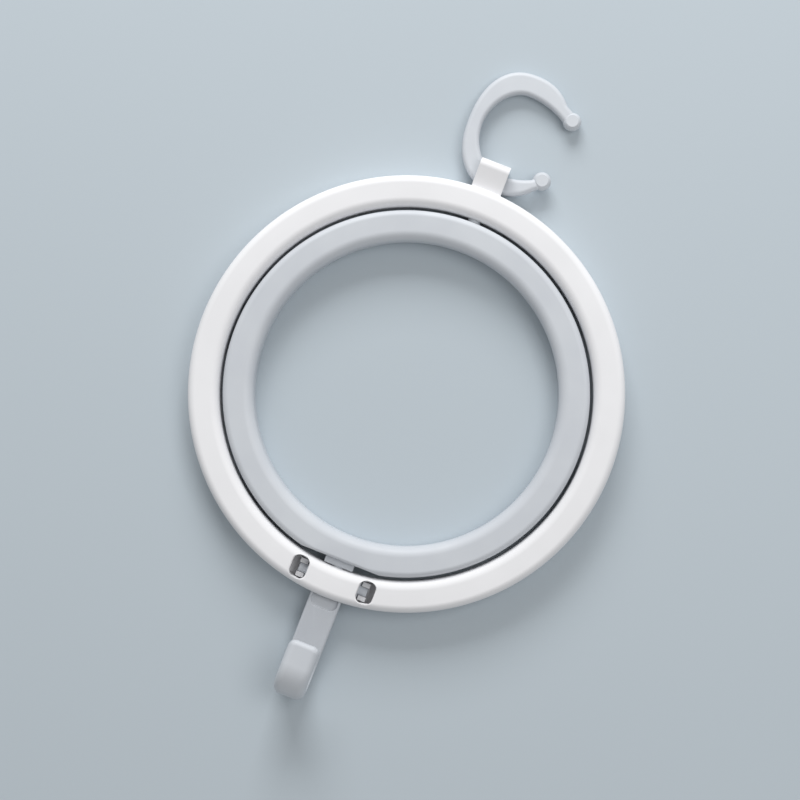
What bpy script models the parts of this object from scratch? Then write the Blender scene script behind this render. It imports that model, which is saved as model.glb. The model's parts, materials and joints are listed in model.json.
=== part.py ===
"""Double ring hanger: an outer ring that hangs from a rail by an open hook, an inner
ring that turns inside it, and a folding hook below. It lies on its back, front face up.

Sizes are in metres. Inside the script a piece is placed from the centre of the rings:
+X to the right, +Y towards the rail hook, +Z up through the front face. An empty then
shifts everything along Y, so that the origin is under the middle of the whole hanger.
"""

import math

import bmesh
import bpy
from mathutils import Vector

# Both rings
RING_RADIUS = 0.0800
OUTER_BAND = 0.0116
RING_GAP = 0.00125
INNER_BAND = 0.0113
THICKNESS = 0.0120
WALL = 0.0018
FIT = 0.0003
OUTSIDE_EDGE = 0.0028
BORE_EDGE = 0.0035
INNER_RIM = 0.0022
HOLE_EDGE = 0.0039
BACK_EDGE = 0.0015
FLAT_DEPTH = 0.0018
RING_STEPS = 64

# Posts and sockets that join the front shells to the back shells
POST_RADIUS = 0.0014
SOCKET_WALL = 0.0008
POST_ANGLES = (0, 45, 135, 180, 225, 315)

# Pivots of the inner ring
PIN_RADIUS = 0.00245
PIN_HEAD_RADIUS = 0.0034
PIN_HEAD_LENGTH = 0.0015
UPPER_PIN_REACH = 0.0044
BLOCK_WIDTH = 0.0112
BLOCK_DEPTH = 0.0052
BLOCK_CLEARANCE = 0.0004

# Hinge of the lower hook, inside the outer ring
HINGE_WALL = 0.0014
BARREL_RADIUS = 0.0031
BARREL_LENGTH = 0.0206
TRUNNION_RADIUS = 0.0017
RIB_THICKNESS = 0.0032
WINDOW_WIDTH = 0.0062
WINDOW_LENGTH = 0.0088
WINDOW_CORNER = 0.0026

# Lower hook
SHANK_WIDTH = 0.0119
SHANK_THICKNESS = 0.0040
SHANK_REACH = 0.0259
BEND_RADIUS = 0.0125
TIP_LENGTH = 0.0089
OUTER_EDGE = 0.0030
INNER_EDGE = 0.0009
TIP_EDGE = 0.0018
TIP_CORNER = 0.0028
POCKET_REACH = 0.0045
POCKET_RIM = 0.0010
POCKET_DEPTH = 0.0017
POCKET_CORNER = 0.0026
POCKET_SLOPE = math.radians(12)

# Eye on the outer ring
EYE_WIDTH = 0.0113
EYE_REACH = 0.0107
STRAP_THICKNESS = 0.0014
STRAP_ROOT_HEIGHT = 0.0091
STRAP_SLOPE = math.radians(18)
LIP_RADIUS = 0.0022
EYE_END_WALL = 0.0025
RETURN_WIDTH = 0.0052
RETURN_THICKNESS = 0.0010

# Rail hook, measured from the middle of its curl
BAR_CLEARANCE = 0.0005
BAR_WIDTH = 0.0065
BAR_THICKNESS = 0.0046
BAR_EDGE = 0.0015
CURL_OFFSET = 0.0019
CURL_LEFT = 0.0177
CURL_RIGHT = 0.0192
CURL_TOP = 0.0236
CURL_BOTTOM = 0.0224
CURL_SQUARENESS = 2.3
SIDE_WIDTH = 0.0054
TOP_WIDTH = 0.0080
INSIDE_RIGHT = 0.0224
INSIDE_SQUARENESS = 1.9
OUTSIDE_ANGLES = (math.radians(44), math.radians(314))
INSIDE_ANGLES = (math.radians(46), math.radians(304))
ARM_END_WIDTH = 0.0048
BALL_RADIUS = 0.0034
BALL_THICKNESS = 0.0052
UPPER_BALL = (0.0181, 0.0125)
LOWER_BALL = (0.0158, -0.0121)

# Worked out from the sizes above
OUTER_BORE = RING_RADIUS - OUTER_BAND
INNER_RADIUS = OUTER_BORE - RING_GAP
HOLE_RADIUS = INNER_RADIUS - INNER_BAND
HALF = THICKNESS / 2
FLAT_Y = FLAT_DEPTH - INNER_RADIUS
HINGE_Y = -(OUTER_BORE + HINGE_WALL + FIT + BARREL_RADIUS)
BARREL_BAY = BARREL_RADIUS + FIT
RIB_INSIDE = BARREL_LENGTH / 2 + FIT
RIB_OUTSIDE = RIB_INSIDE + RIB_THICKNESS
WINDOW_X = RIB_OUTSIDE - WINDOW_WIDTH / 8
EYE_Y = RING_RADIUS + BAR_CLEARANCE + BAR_WIDTH / 2
BAR_REACH = math.hypot(BAR_WIDTH / 2 - BAR_EDGE, BAR_THICKNESS / 2 - BAR_EDGE) + BAR_EDGE
EYE_Z = RETURN_THICKNESS + 1.5 * FIT + BAR_REACH


def clear_scene():
    for obj in list(bpy.data.objects):
        bpy.data.objects.remove(obj, do_unlink=True)


def new_collection(name):
    collection = bpy.data.collections.new(name)
    bpy.context.scene.collection.children.link(collection)
    return collection


def plastic(name, colour, roughness):
    material = bpy.data.materials.new(name)
    material.use_nodes = True
    shader = material.node_tree.nodes["Principled BSDF"]
    shader.inputs["Base Color"].default_value = (*colour, 1.0)
    shader.inputs["Roughness"].default_value = roughness
    shader.inputs["Metallic"].default_value = 0.0
    return material


def place(name, mesh, location):
    """Link a mesh under the empty at the middle of the rings."""
    obj = bpy.data.objects.new(name, mesh)
    obj.location = location
    obj.parent = centre
    parts.objects.link(obj)
    return obj


def as_tool(obj):
    """Turn an object into a cutter or a filler, which is not a piece of its own."""
    parts.objects.unlink(obj)
    tools.objects.link(obj)
    obj.hide_render = True
    obj.display_type = 'WIRE'
    return obj


def boolean(obj, tool, operation):
    modifier = obj.modifiers.new(tool.name, 'BOOLEAN')
    modifier.operation = operation
    modifier.solver = 'EXACT'
    modifier.object = as_tool(tool)


def cut(obj, tool):
    boolean(obj, tool, 'DIFFERENCE')


def join(obj, tool):
    boolean(obj, tool, 'UNION')


def finish(obj, colour, roughness):
    obj.data.materials.clear()
    obj.data.materials.append(plastic(obj.name, colour, roughness))


def arc(centre_x, centre_y, radius, start, end, steps):
    """Points of a circular arc, both ends included, angles in degrees."""
    points = []
    for index in range(steps + 1):
        angle = math.radians(start + (end - start) * index / steps)
        points.append((centre_x + radius * math.cos(angle), centre_y + radius * math.sin(angle)))
    return points


def turned(name, profile, location, steps, closed=True):
    """Turn a profile of radius and height pairs about Z."""
    mesh = bpy.data.meshes.new(name)
    count = len(profile)
    edges = [(index, (index + 1) % count) for index in range(count if closed else count - 1)]
    mesh.from_pydata([(radius, 0.0, height) for radius, height in profile], edges, [])
    obj = place(name, mesh, location)
    screw = obj.modifiers.new("turn", 'SCREW')
    screw.steps = steps
    screw.render_steps = steps
    screw.use_merge_vertices = True
    screw.merge_threshold = 0.00001
    return obj


def box(name, low, high):
    mesh = bpy.data.meshes.new(name)
    shape = bmesh.new()
    bmesh.ops.create_cube(shape, size=1.0)
    size = Vector(high) - Vector(low)
    bmesh.ops.scale(shape, vec=size, verts=shape.verts)
    shape.to_mesh(mesh)
    shape.free()
    return place(name, mesh, (Vector(low) + Vector(high)) / 2)


def rod(name, radius, start, end, segments=24):
    """A cylinder between two points."""
    mesh = bpy.data.meshes.new(name)
    shape = bmesh.new()
    length = (Vector(end) - Vector(start)).length
    bmesh.ops.create_cone(shape, cap_ends=True, segments=segments, radius1=radius, radius2=radius, depth=length)
    shape.to_mesh(mesh)
    shape.free()
    obj = place(name, mesh, (Vector(start) + Vector(end)) / 2)
    obj.rotation_euler = (Vector(end) - Vector(start)).to_track_quat('Z', 'Y').to_euler()
    return obj


def plate(name, outline, thickness, edge, location):
    """A flat outline in its own XY plane, as thick as asked, with its edges rounded."""
    curve = bpy.data.curves.new(name, 'CURVE')
    curve.dimensions = '2D'
    curve.fill_mode = 'BOTH'
    spline = curve.splines.new('POLY')
    spline.points.add(len(outline) - 1)
    for point, (x, y) in zip(spline.points, outline):
        point.co = (x, y, 0.0, 1.0)
    spline.use_cyclic_u = True
    curve.extrude = thickness / 2 - edge
    curve.bevel_depth = edge
    curve.bevel_resolution = 1
    curve.offset = -edge
    guide = bpy.data.objects.new(name + "_outline", curve)
    parts.objects.link(guide)
    graph = bpy.context.evaluated_depsgraph_get()
    mesh = bpy.data.meshes.new_from_object(guide.evaluated_get(graph))
    bpy.data.objects.remove(guide)
    shape = bmesh.new()
    shape.from_mesh(mesh)
    bmesh.ops.remove_doubles(shape, verts=shape.verts, dist=0.000001)
    bmesh.ops.recalc_face_normals(shape, faces=shape.faces)
    shape.to_mesh(mesh)
    shape.free()
    mesh.name = name
    return place(name, mesh, location)


def rounded_rectangle(width, length, corner):
    points = []
    for side_x, side_y, start in ((1, 1, 0), (-1, 1, 90), (-1, -1, 180), (1, -1, 270)):
        corner_x = side_x * (width / 2 - corner)
        corner_y = side_y * (length / 2 - corner)
        points += arc(corner_x, corner_y, corner, start, start + 90, 3)
    return points


def tangent_angle(centre_x, centre_y, radius, x, y, side):
    """Angle on a circle, in degrees, where the line from an outside point touches it."""
    distance = math.hypot(x - centre_x, y - centre_y)
    towards = math.atan2(y - centre_y, x - centre_x)
    return math.degrees(towards + side * math.acos(radius / distance))


def front_section(outside, inside, outside_edge, inside_edge):
    """Body of a front shell, from its flat top down its outer side to the joint line."""
    joint = FIT / 2
    return (
        arc(outside - outside_edge, HALF - outside_edge, outside_edge, 90, 0, 4)
        + [(outside, joint), (inside, joint)]
        + arc(inside + inside_edge, HALF - inside_edge, inside_edge, 180, 90, 4)
    )


def back_section(outside, inside):
    joint = -FIT / 2
    return (
        [(outside, joint)]
        + arc(outside - BACK_EDGE, BACK_EDGE - HALF, BACK_EDGE, 0, -90, 2)
        + arc(inside + BACK_EDGE, BACK_EDGE - HALF, BACK_EDGE, 270, 180, 2)
        + [(inside, joint)]
    )


def hollow_section(outside, inside, side):
    """The space inside a shell: side is 1 for a front shell and -1 for a back shell."""
    floor = HALF - WALL
    corner = WALL / 3
    points = [
        (outside - WALL - corner, side * floor),
        (outside - WALL, side * (floor - corner)),
        (outside - WALL, -side * WALL),
        (inside + WALL, -side * WALL),
        (inside + WALL, side * (floor - corner)),
        (inside + WALL + corner, side * floor),
    ]
    return points if side > 0 else points[::-1]


def ring_shell(name, outside, inside, section, side, flat_y=None):
    """One half of a ring: a turned body, hollowed, with a flat cut across it if asked."""
    middle = (0.0, 0.0, HALF)
    shell = turned(name, section, middle, RING_STEPS)
    hollow = turned(name + "_hollow", hollow_section(outside, inside, side), middle, RING_STEPS)
    if flat_y is not None:
        far = (2 * outside, 2 * THICKNESS)
        for obj, edge_y in ((shell, flat_y), (hollow, flat_y + WALL)):
            cut(obj, box(obj.name + "_flat", (-far[0], -far[0], -far[1]), (far[0], edge_y, far[1])))
    cut(shell, hollow)
    return shell


def add_posts(front, back, radius):
    """Posts on the back shell that plug into sockets under the front shell."""
    bore = POST_RADIUS + FIT / 2
    top = THICKNESS - WALL - 2 * FIT
    for angle in POST_ANGLES:
        x = radius * math.cos(math.radians(angle))
        y = radius * math.sin(math.radians(angle))
        socket_foot = HALF + FIT / 2
        label = f"{front.name}_{angle}"
        join(front, rod(label + "_socket", bore + SOCKET_WALL, (x, y, socket_foot),
                        (x, y, THICKNESS - WALL / 2), 16))
        cut(front, rod(label + "_bore", bore, (x, y, socket_foot - FIT), (x, y, top + FIT), 12))
        join(back, rod(label + "_post", POST_RADIUS, (x, y, WALL / 2), (x, y, top), 12))


def hook_edges():
    """Centre of the lower hook's bend, and its neck's top and bottom heights at the ring."""
    bend = (-(RING_RADIUS + SHANK_REACH), BEND_RADIUS)
    return bend, HALF + BARREL_RADIUS, HALF - BARREL_RADIUS


def pivot_cutter(name, y_low, y_high):
    return rod(name, PIN_RADIUS + FIT, (0, y_low, HALF), (0, y_high, HALF))


def hinge_bay(shell):
    """Room in an outer shell for the lower hook's barrel and for the lower pivot."""
    reach = BARREL_LENGTH / 2
    cut(shell, rod(shell.name + "_bay", BARREL_BAY, (-reach, HINGE_Y, HALF), (reach, HINGE_Y, HALF), 32))
    cut(shell, pivot_cutter(shell.name + "_lower_bore", -OUTER_BORE - 2 * WALL, -OUTER_BORE + 2 * WALL))
    cut(shell, pivot_cutter(shell.name + "_upper_bore", OUTER_BORE - WALL, OUTER_BORE + 2 * WALL))


def make_outer_front():
    shell = ring_shell("outer_ring_front", RING_RADIUS, OUTER_BORE,
                       front_section(RING_RADIUS, OUTER_BORE, OUTSIDE_EDGE, BORE_EDGE), 1)
    for side in (-1, 1):
        pad_near = SHANK_WIDTH / 2 + 2 * FIT
        pad_far = BARREL_LENGTH / 2 - 3 * FIT
        low_x, high_x = sorted((side * pad_near, side * pad_far))
        join(shell, box(f"hold_down_{side}", (low_x, HINGE_Y - BARREL_RADIUS / 2, HALF + BARREL_RADIUS / 2),
                        (high_x, HINGE_Y + BARREL_RADIUS / 2, THICKNESS - WALL / 2)))
    hinge_bay(shell)
    neck_half = SHANK_WIDTH / 2 + FIT
    cut(shell, box("front_neck_notch", (-neck_half, -RING_RADIUS - WALL, 0.0),
                   (neck_half, HINGE_Y, HALF + BARREL_RADIUS + FIT)))
    for side in (-1, 1):
        window = plate(f"window_{side}", rounded_rectangle(WINDOW_WIDTH, WINDOW_LENGTH, WINDOW_CORNER),
                       4 * WALL, 0.0, (side * WINDOW_X, HINGE_Y + FIT, THICKNESS))
        cut(shell, window)
    add_eye_front(shell)
    return shell


def strap_outline():
    """Side view of the eye's strap: it climbs outward from the ring to a rounded lip."""
    end_y = RING_RADIUS + EYE_REACH
    rise = math.tan(STRAP_SLOPE)
    start_y = RING_RADIUS - WALL / 2
    lip_y = end_y - LIP_RADIUS
    drop = STRAP_THICKNESS / math.cos(STRAP_SLOPE)

    def top(y):
        return STRAP_ROOT_HEIGHT + (y - RING_RADIUS) * rise

    lip_z = top(lip_y) - LIP_RADIUS / math.cos(STRAP_SLOPE)
    rounded = arc(lip_y, lip_z, LIP_RADIUS, 90 + math.degrees(STRAP_SLOPE), 0, 4)
    under = top(lip_y) - drop
    return [(start_y, top(start_y))] + rounded + [(end_y, under), (lip_y, under),
                                                  (start_y, top(start_y) - drop)]


def side_plate(name, outline, width, edge, x, origin=(0.0, 0.0)):
    """A plate whose outline is drawn in Y and Z and whose thickness runs along X."""
    obj = plate(name, outline, width, edge, (x, origin[0], origin[1]))
    obj.rotation_euler = (math.radians(90), 0.0, math.radians(90))
    return obj


def add_eye_front(shell):
    """Strap over the rail hook's bar, and the front half of the wall that closes the eye."""
    strap = side_plate("eye_strap", strap_outline(), EYE_WIDTH, 0.0, 0.0)
    join(shell, strap)
    right = EYE_WIDTH / 2
    end_y = RING_RADIUS + EYE_REACH
    under = STRAP_ROOT_HEIGHT + (EYE_REACH - LIP_RADIUS) * math.tan(STRAP_SLOPE) - STRAP_THICKNESS / 2
    join(shell, box("eye_end_front", (right - RETURN_WIDTH, end_y - EYE_END_WALL, HALF + FIT / 2),
                    (right - FIT, end_y - FIT, under)))


def make_outer_back():
    shell = ring_shell("outer_ring_back", RING_RADIUS, OUTER_BORE, back_section(RING_RADIUS, OUTER_BORE), -1)
    slot_half = TRUNNION_RADIUS + FIT
    rib_top = HALF + TRUNNION_RADIUS / 2
    rib_high = -math.sqrt((OUTER_BORE + WALL) ** 2 - RIB_INSIDE ** 2) - FIT
    rib_low = -math.sqrt((RING_RADIUS - WALL) ** 2 - RIB_OUTSIDE ** 2) + FIT
    for side in (-1, 1):
        low_x, high_x = sorted((side * RIB_INSIDE, side * RIB_OUTSIDE))
        join(shell, box(f"bearing_rib_{side}", (low_x, rib_low, WALL / 2), (high_x, rib_high, rib_top)))
    reach = RIB_OUTSIDE + FIT
    cut(shell, rod("trunnion_seat", slot_half, (-reach, HINGE_Y, HALF), (reach, HINGE_Y, HALF)))
    cut(shell, box("trunnion_slot", (-reach, HINGE_Y - slot_half, HALF),
                   (reach, HINGE_Y + slot_half, THICKNESS)))
    hinge_bay(shell)
    neck_half = SHANK_WIDTH / 2 + FIT
    cut(shell, box("back_neck_notch", (-neck_half, -RING_RADIUS - WALL, -WALL),
                   (neck_half, HINGE_Y + BARREL_BAY, HALF)))
    join(shell, side_plate("eye_return", return_outline(), RETURN_WIDTH, 0.0,
                           EYE_WIDTH / 2 - FIT - RETURN_WIDTH / 2))
    return shell


def return_outline():
    """Side view of the tab under the rail hook's bar and the wall that stands on its end."""
    start_y = RING_RADIUS - WALL / 2
    end_y = RING_RADIUS + EYE_REACH - FIT
    inside_y = end_y - EYE_END_WALL
    joint = HALF - FIT / 2
    return [(start_y, 0.0), (end_y, 0.0), (end_y, joint), (inside_y, joint),
            (inside_y, RETURN_THICKNESS), (start_y, RETURN_THICKNESS)]


def make_inner(name, section, side):
    shell = ring_shell(name, INNER_RADIUS, HOLE_RADIUS, section, side, FLAT_Y)
    cut(shell, pivot_cutter(name + "_upper_bore", INNER_RADIUS - 2 * WALL, INNER_RADIUS + WALL))
    half_width = BLOCK_WIDTH / 2 + FIT
    half_depth = BLOCK_DEPTH / 2 + FIT
    cut(shell, box(name + "_block_notch", (-half_width, FLAT_Y - WALL, HALF - half_depth),
                   (half_width, FLAT_Y + 2 * WALL, HALF + half_depth)))
    return shell


def make_upper_pin():
    """Pin along Y: its head is held inside the inner ring, its end turns in the outer ring."""
    head_high = INNER_RADIUS - WALL - FIT
    pin = rod("upper_pivot_pin", PIN_RADIUS, (0, head_high - PIN_HEAD_LENGTH / 2, HALF),
              (0, OUTER_BORE + UPPER_PIN_REACH, HALF))
    join(pin, rod("upper_pin_head", PIN_HEAD_RADIUS, (0, head_high - PIN_HEAD_LENGTH, HALF),
                  (0, head_high, HALF)))
    return pin


def make_lower_pivot():
    """Flat block that stands out of the inner ring's flat, with the lower pin on its end."""
    head_low = FLAT_Y + WALL + FIT
    block_end = -OUTER_BORE + BLOCK_CLEARANCE
    half_width = BLOCK_WIDTH / 2
    half_depth = BLOCK_DEPTH / 2
    head_side = half_width + WALL
    head_depth = HALF - WALL - 2 * FIT
    block = box("lower_pivot_block", (-half_width, block_end, HALF - half_depth),
                (half_width, head_low + PIN_HEAD_LENGTH / 2, HALF + half_depth))
    join(block, box("lower_pivot_head", (-head_side, head_low, HALF - head_depth),
                    (head_side, head_low + PIN_HEAD_LENGTH, HALF + head_depth)))
    pin_end = HINGE_Y + BARREL_BAY + FIT / 2
    join(block, rod("lower_pin", PIN_RADIUS, (0, pin_end, HALF), (0, block_end + PIN_HEAD_LENGTH, HALF)))
    return block


def lower_hook_outline():
    """Side view of the lower hook: tapering shank, bend and tip, outer side first.

    Each point comes with the rounding of the edge that runs on from it."""
    (bend_y, bend_z), neck_top, neck_bottom = hook_edges()
    inside = BEND_RADIUS - SHANK_THICKNESS
    back_touch = tangent_angle(bend_y, bend_z, BEND_RADIUS, -RING_RADIUS, neck_bottom, -1)
    front_touch = tangent_angle(bend_y, bend_z, inside, -RING_RADIUS, neck_top, -1)
    tip_y = bend_y + TIP_LENGTH
    outer = [(HINGE_Y, neck_bottom), (-RING_RADIUS, neck_bottom)]
    outer += arc(bend_y, bend_z, BEND_RADIUS, back_touch, -270, 22)
    tip = [(tip_y, bend_z + BEND_RADIUS)]
    inner = [(tip_y, bend_z + inside)] + arc(bend_y, bend_z, inside, -270, front_touch, 18)
    inner += [(-RING_RADIUS, neck_top)]
    root = [(HINGE_Y, neck_top)]
    points = [(y - HINGE_Y, z - HALF) for y, z in outer + tip + inner + root]
    edges = [OUTER_EDGE] * len(outer) + [TIP_CORNER] + [INNER_EDGE] * len(inner) + [0.0]
    return points, edges, len(outer)


def hook_band():
    """The lower hook's outline made solid, each of its edges rounded by its own amount."""
    outline, edges, tip = lower_hook_outline()
    half = SHANK_WIDTH / 2
    mesh = bpy.data.meshes.new("lower_hook")
    shape = bmesh.new()
    weight = shape.edges.layers.float.new("bevel_weight_edge")
    left = [shape.verts.new((-half, y, z)) for y, z in outline]
    right = [shape.verts.new((half, y, z)) for y, z in outline]
    shape.faces.new(left)
    shape.faces.new(right[::-1])
    for index, edge in enumerate(edges):
        after = (index + 1) % len(outline)
        shape.faces.new((left[after], left[index], right[index], right[after]))
        for side in (left, right):
            shape.edges.get((side[index], side[after]))[weight] = edge / OUTER_EDGE
    for corner, edge in ((tip, TIP_EDGE), (tip + 1, INNER_EDGE)):
        shape.edges.get((left[corner], right[corner]))[weight] = edge / OUTER_EDGE
    bmesh.ops.recalc_face_normals(shape, faces=shape.faces)
    shape.to_mesh(mesh)
    shape.free()
    band = place("lower_hook", mesh, (0.0, HINGE_Y, HALF))
    rounding = band.modifiers.new("rounding", 'BEVEL')
    rounding.width = OUTER_EDGE
    rounding.segments = 3
    rounding.limit_method = 'WEIGHT'
    rounding.use_clamp_overlap = False
    return band


def make_lower_hook():
    hook = hook_band()
    barrel_end = BARREL_LENGTH / 2
    trunnion_end = RIB_OUTSIDE - FIT
    join(hook, rod("hook_barrel", BARREL_RADIUS, (-barrel_end, HINGE_Y, HALF), (barrel_end, HINGE_Y, HALF), 32))
    join(hook, rod("hook_trunnions", TRUNNION_RADIUS, (-trunnion_end, HINGE_Y, HALF),
                   (trunnion_end, HINGE_Y, HALF)))
    (bend_y, bend_z), neck_top, _ = hook_edges()
    inside = BEND_RADIUS - SHANK_THICKNESS
    touch = math.radians(tangent_angle(bend_y, bend_z, inside, -RING_RADIUS, neck_top, -1))
    slope = touch + math.radians(90)
    pocket_width = SHANK_WIDTH - 2 * POCKET_RIM
    pocket_length = 2 * POCKET_REACH
    pocket = plate("hook_pocket", rounded_rectangle(pocket_width, pocket_length, POCKET_CORNER),
                   2 * POCKET_DEPTH, 0.0, (0.0, -RING_RADIUS, neck_top))
    pocket.rotation_euler = (slope - POCKET_SLOPE, 0.0, 0.0)
    cut(hook, pocket)
    return hook


def curl_edge(angles, right, left, top, bottom, squareness, steps=26):
    """Points along a rounded-square oval with its own reach on each of its four sides."""
    first, last = angles
    power = 2 / squareness
    points = []
    for index in range(steps + 1):
        angle = first + (last - first) * index / steps
        across, up = math.cos(angle), math.sin(angle)
        reach_x = right if across > 0 else left
        reach_y = top if up > 0 else bottom
        points.append((math.copysign(reach_x * abs(across) ** power, across),
                       math.copysign(reach_y * abs(up) ** power, up)))
    return points


def rail_hook_outline():
    """Outer edge from the upper arm round to the lower arm, then the inner edge back."""
    outer = curl_edge(OUTSIDE_ANGLES, CURL_RIGHT, CURL_LEFT, CURL_TOP, CURL_BOTTOM, CURL_SQUARENESS)
    inner = curl_edge(INSIDE_ANGLES, INSIDE_RIGHT, CURL_LEFT - SIDE_WIDTH, CURL_TOP - TOP_WIDTH,
                      CURL_BOTTOM - BAR_WIDTH, INSIDE_SQUARENESS)
    upper_end = arm_end(outer[0], inner[0], UPPER_BALL)
    lower_end = arm_end(outer[-1], inner[-1], LOWER_BALL)
    return upper_end + outer + lower_end[::-1] + inner[::-1]


def arm_end(outer, inner, ball):
    """Half circle on which an arm ends inside its ball, starting from the inner edge."""
    along = Vector(ball) - (Vector(outer) + Vector(inner)) / 2
    heading = math.degrees(math.atan2(along.y, along.x))
    side = 90 if outer[1] > 0 else -90
    return arc(ball[0], ball[1], ARM_END_WIDTH / 2, heading - side, heading + side, 6)


def make_ball(name, ball, height):
    half = BALL_THICKNESS / 2
    start = math.degrees(math.asin(half / BALL_RADIUS))
    profile = [(0.0, half)] + arc(0.0, 0.0, BALL_RADIUS, start, -start, 6) + [(0.0, -half)]
    return turned(name, profile, (ball[0], ball[1], height), 20, closed=False)


def rail_hook_tilt(outline):
    """Angle at which the hook's far end comes down to the surface that the hanger lies on."""
    far = max(y for x, y in outline) - BAR_EDGE
    drop = EYE_Z - BAR_EDGE
    half = BAR_THICKNESS / 2 - BAR_EDGE
    return math.asin(drop / math.hypot(far, half)) - math.atan2(half, far)


def rail_hook_points():
    """The outline about the axis that the hook swings on, inside the eye."""
    lift = RING_RADIUS + BAR_CLEARANCE + CURL_BOTTOM - EYE_Y
    return [(x + CURL_OFFSET, y + lift) for x, y in rail_hook_outline()], lift


def make_rail_hook():
    outline, lift = rail_hook_points()
    pivot = bpy.data.objects.new("rail_hook_pivot", None)
    pivot.parent = centre
    pivot.location = (0.0, EYE_Y, EYE_Z)
    pivot.rotation_euler = (-rail_hook_tilt(outline), 0.0, 0.0)
    parts.objects.link(pivot)
    hook = plate("rail_hook", outline, BAR_THICKNESS, BAR_EDGE, (0.0, 0.0, 0.0))
    hook.parent = pivot
    for label, ball in (("upper_ball", UPPER_BALL), ("lower_ball", LOWER_BALL)):
        tip = make_ball(label, (ball[0] + CURL_OFFSET, ball[1] + lift), 0.0)
        tip.parent = pivot
        join(hook, tip)
    return hook


def middle_of_length():
    """Half way along Y between the top of the rail hook and the bend of the lower hook."""
    outline, _ = rail_hook_points()
    tilt = rail_hook_tilt(outline)
    far = max(y for x, y in outline) - BAR_EDGE
    top = EYE_Y + far * math.cos(tilt) + (BAR_THICKNESS / 2 - BAR_EDGE) * math.sin(tilt) + BAR_EDGE
    bottom = -(RING_RADIUS + SHANK_REACH + BEND_RADIUS)
    return (top + bottom) / 2


clear_scene()
parts = new_collection("double_ring_hanger")
tools = new_collection("cutters")
centre = bpy.data.objects.new("ring_centre", None)
centre.location = (0.0, -middle_of_length(), 0.0)
parts.objects.link(centre)

WHITE = (0.86, 0.87, 0.88)
BLUE_GREY = (0.60, 0.64, 0.69)

outer_front = make_outer_front()
outer_back = make_outer_back()
inner_front = make_inner("inner_ring_front", front_section(INNER_RADIUS, HOLE_RADIUS, INNER_RIM, HOLE_EDGE), 1)
inner_back = make_inner("inner_ring_back", back_section(INNER_RADIUS, HOLE_RADIUS), -1)
add_posts(outer_front, outer_back, (RING_RADIUS + OUTER_BORE) / 2)
add_posts(inner_front, inner_back, (INNER_RADIUS + HOLE_RADIUS) / 2)
for white_piece in (outer_front, outer_back):
    finish(white_piece, WHITE, 0.35)
for grey_piece in (inner_front, inner_back, make_upper_pin(), make_lower_pivot(), make_lower_hook(),
                   make_rail_hook()):
    finish(grey_piece, BLUE_GREY, 0.35)
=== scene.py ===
"""Double ring hanger: moulded plastic rings, a ball-ended rail hook and a folding J hook.

Sizes are in metres. Pieces are drawn about the centre of the rings, with +Y towards the
rail hook and +Z out of the front face, and then moved to where the frame holds the rings.
"""

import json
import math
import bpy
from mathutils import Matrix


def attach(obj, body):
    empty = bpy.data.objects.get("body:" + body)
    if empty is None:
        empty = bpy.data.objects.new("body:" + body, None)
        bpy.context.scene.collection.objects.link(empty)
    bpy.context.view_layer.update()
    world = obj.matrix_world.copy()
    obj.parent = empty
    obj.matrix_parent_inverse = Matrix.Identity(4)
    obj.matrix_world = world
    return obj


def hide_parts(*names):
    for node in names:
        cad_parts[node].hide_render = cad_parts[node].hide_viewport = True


bl_info = {
    "name": "Double Ring Hanger",
    "version": (1, 0, 0),
    "blender": (4, 5, 0),
    "location": "View3D > Sidebar > Hanger",
    "description": "Builds a plastic double ring hanger with a rail hook and a folding hook",
    "category": "Object",
}

import bmesh
import bpy
from bpy.props import FloatProperty, FloatVectorProperty, IntProperty, PointerProperty
from mathutils import Matrix, Vector

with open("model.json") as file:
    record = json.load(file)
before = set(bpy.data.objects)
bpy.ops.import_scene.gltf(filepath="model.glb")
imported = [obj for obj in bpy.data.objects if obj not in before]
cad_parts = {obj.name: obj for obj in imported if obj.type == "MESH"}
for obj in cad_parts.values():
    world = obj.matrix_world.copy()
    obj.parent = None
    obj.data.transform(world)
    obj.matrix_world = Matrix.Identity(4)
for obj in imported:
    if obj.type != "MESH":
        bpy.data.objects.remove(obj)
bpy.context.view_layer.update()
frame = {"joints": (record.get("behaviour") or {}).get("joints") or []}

JOINTS = {joint["name"]: Vector(joint["pos_m"]) for joint in frame["joints"]}
RING_CENTRE = Vector((0.0, JOINTS["inner_ring_turn"].y, 0.0))
MID_HEIGHT = JOINTS["inner_ring_turn"].z
HINGE_Y = JOINTS["lower_hook_fold"].y - RING_CENTRE.y
EYE_Y = JOINTS["rail_hook_swing"].y - RING_CENTRE.y
EYE_Z = JOINTS["rail_hook_swing"].z

CLEARANCE = 0.0003  # gap that a piece keeps to its neighbour
SEAT = 0.0016  # how deep the upper pin and the lower block sit in the grey ring
SEAT_GAP = 0.0002  # space under them there
EYE_INSET = 0.0003  # how far the eye's wall and tab stay inside the strap's outline
SMALL_EDGE = 0.0003  # rounding of small inner pieces
PIN_EDGE = 0.0004  # rounding of the ends of round pins
PAST = 0.002  # how far a cutter reaches past the surface that it cuts
SAME_POINT = 0.0000005  # points closer than this are merged
CREASE = math.radians(32)  # faces that meet at a larger angle keep a crisp edge
LEAN = math.radians(21.5)  # how far the photo is turned against the hanger
SIDE_VIEW = Matrix(((0, 0, 1, 0), (1, 0, 0, 0), (0, 1, 0, 0), (0, 0, 0, 1)))


def linear(hex_colour):
    """Turn an sRGB hex colour into linear red, green and blue."""
    channels = []
    for index in (0, 2, 4):
        value = int(hex_colour[index:index + 2], 16) / 255
        channels.append(value / 12.92 if value <= 0.04045 else ((value + 0.055) / 1.055) ** 2.4)
    return tuple(channels)


def length(name, description, default):
    """Property for a size in metres."""
    return FloatProperty(name=name, description=description, default=default, min=0.0,
                         unit='LENGTH', precision=5)


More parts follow.
